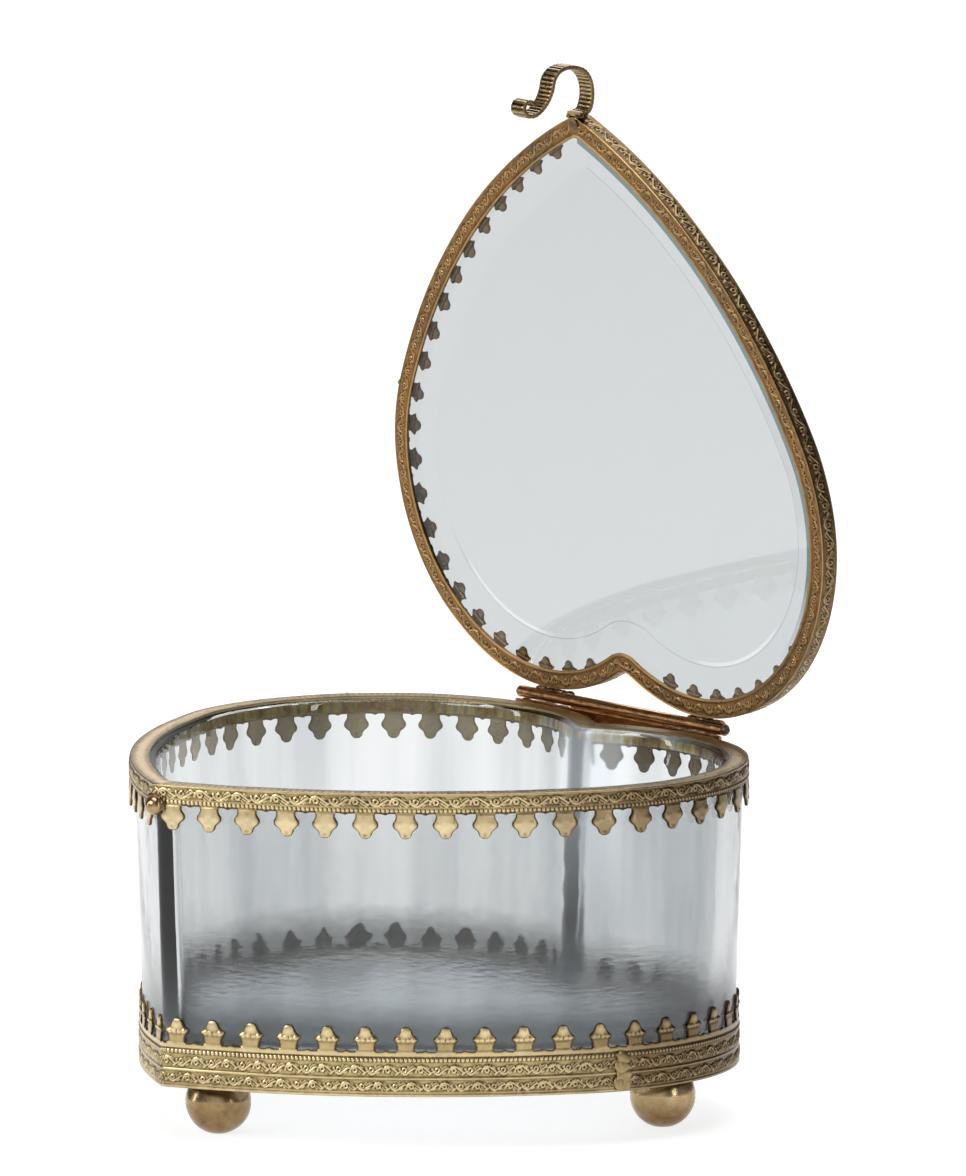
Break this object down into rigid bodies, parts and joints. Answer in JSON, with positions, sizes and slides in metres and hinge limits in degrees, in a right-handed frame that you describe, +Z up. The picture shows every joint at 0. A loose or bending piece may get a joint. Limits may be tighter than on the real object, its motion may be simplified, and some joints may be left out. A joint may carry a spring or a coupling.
{
  "type": "trinket box",
  "caption": "Heart-shaped glass trinket box with stamped brass bands, ball feet, and a hinged bevelled-glass lid with a sprung hook clasp.",
  "frame": {"origin": "middle of the open box's length and width, on the surface it stands on", "axes": "+Z up; the heart's tip points to -Y, the hinge runs along X at the back (+Y)"},
  "size_m": [0.1092, 0.1053, 0.1693],
  "materials": {
    "moulded_glass": "clear moulded glass, slightly rippled",
    "lid_glass": "clear bevelled float glass, green at the edge",
    "stamped_brass": "aged antique brass, dark in the recesses of the relief",
    "plain_brass": "aged sheet brass, brown",
    "hinge_brass": "aged copper-coloured brass tube",
    "ball_brass": "satin aged brass",
    "clasp_brass": "aged reeded brass ribbon",
    "pin_steel": "dark oxidised wire",
    "solder": "dull tin solder, partly browned",
    "cement": "dry yellowish cement"
  },
  "bodies": {
    "box": {"glass_bowl": "moulded_glass", "rim_band": "stamped_brass", "rim_cement": "cement", "base_band": "stamped_brass", "base_cement": "cement", "base_ring": "plain_brass", "foot_tip": "ball_brass", "foot_left": "ball_brass", "foot_right": "ball_brass", "foot_solder": "solder", "rim_seam_solder": "solder", "base_seam_solder": "solder", "catch_bead": "ball_brass", "catch_solder": "solder", "hinge_leaf": "plain_brass", "leaf_solder": "solder", "hinge_knuckle_box": "hinge_brass", "hinge_pin": "pin_steel"},
    "lid": {"lid_glass": "lid_glass", "lid_frame": "stamped_brass", "lid_knuckle_left": "hinge_brass", "lid_knuckle_right": "hinge_brass", "lid_hinge_solder": "solder", "lid_seam_solder": "solder", "clasp_solder": "solder"},
    "clasp": {"clasp_hook": "clasp_brass"}
  },
  "joints": [
    {"name": "lid_hinge", "type": "hinge", "parent": "box", "child": "lid", "pos_m": [0, 0.04995, 0.06025], "axis": [-1, 0, 0], "range_deg": [-83.4, 21.6]},
    {"name": "clasp_flex", "type": "hinge", "parent": "lid", "child": "clasp", "pos_m": [0, 0.03954, 0.16106], "axis": [-1, 0, 0], "range_deg": [0, 15], "stiffness_Nm_per_rad": 0.02}
  ]
}
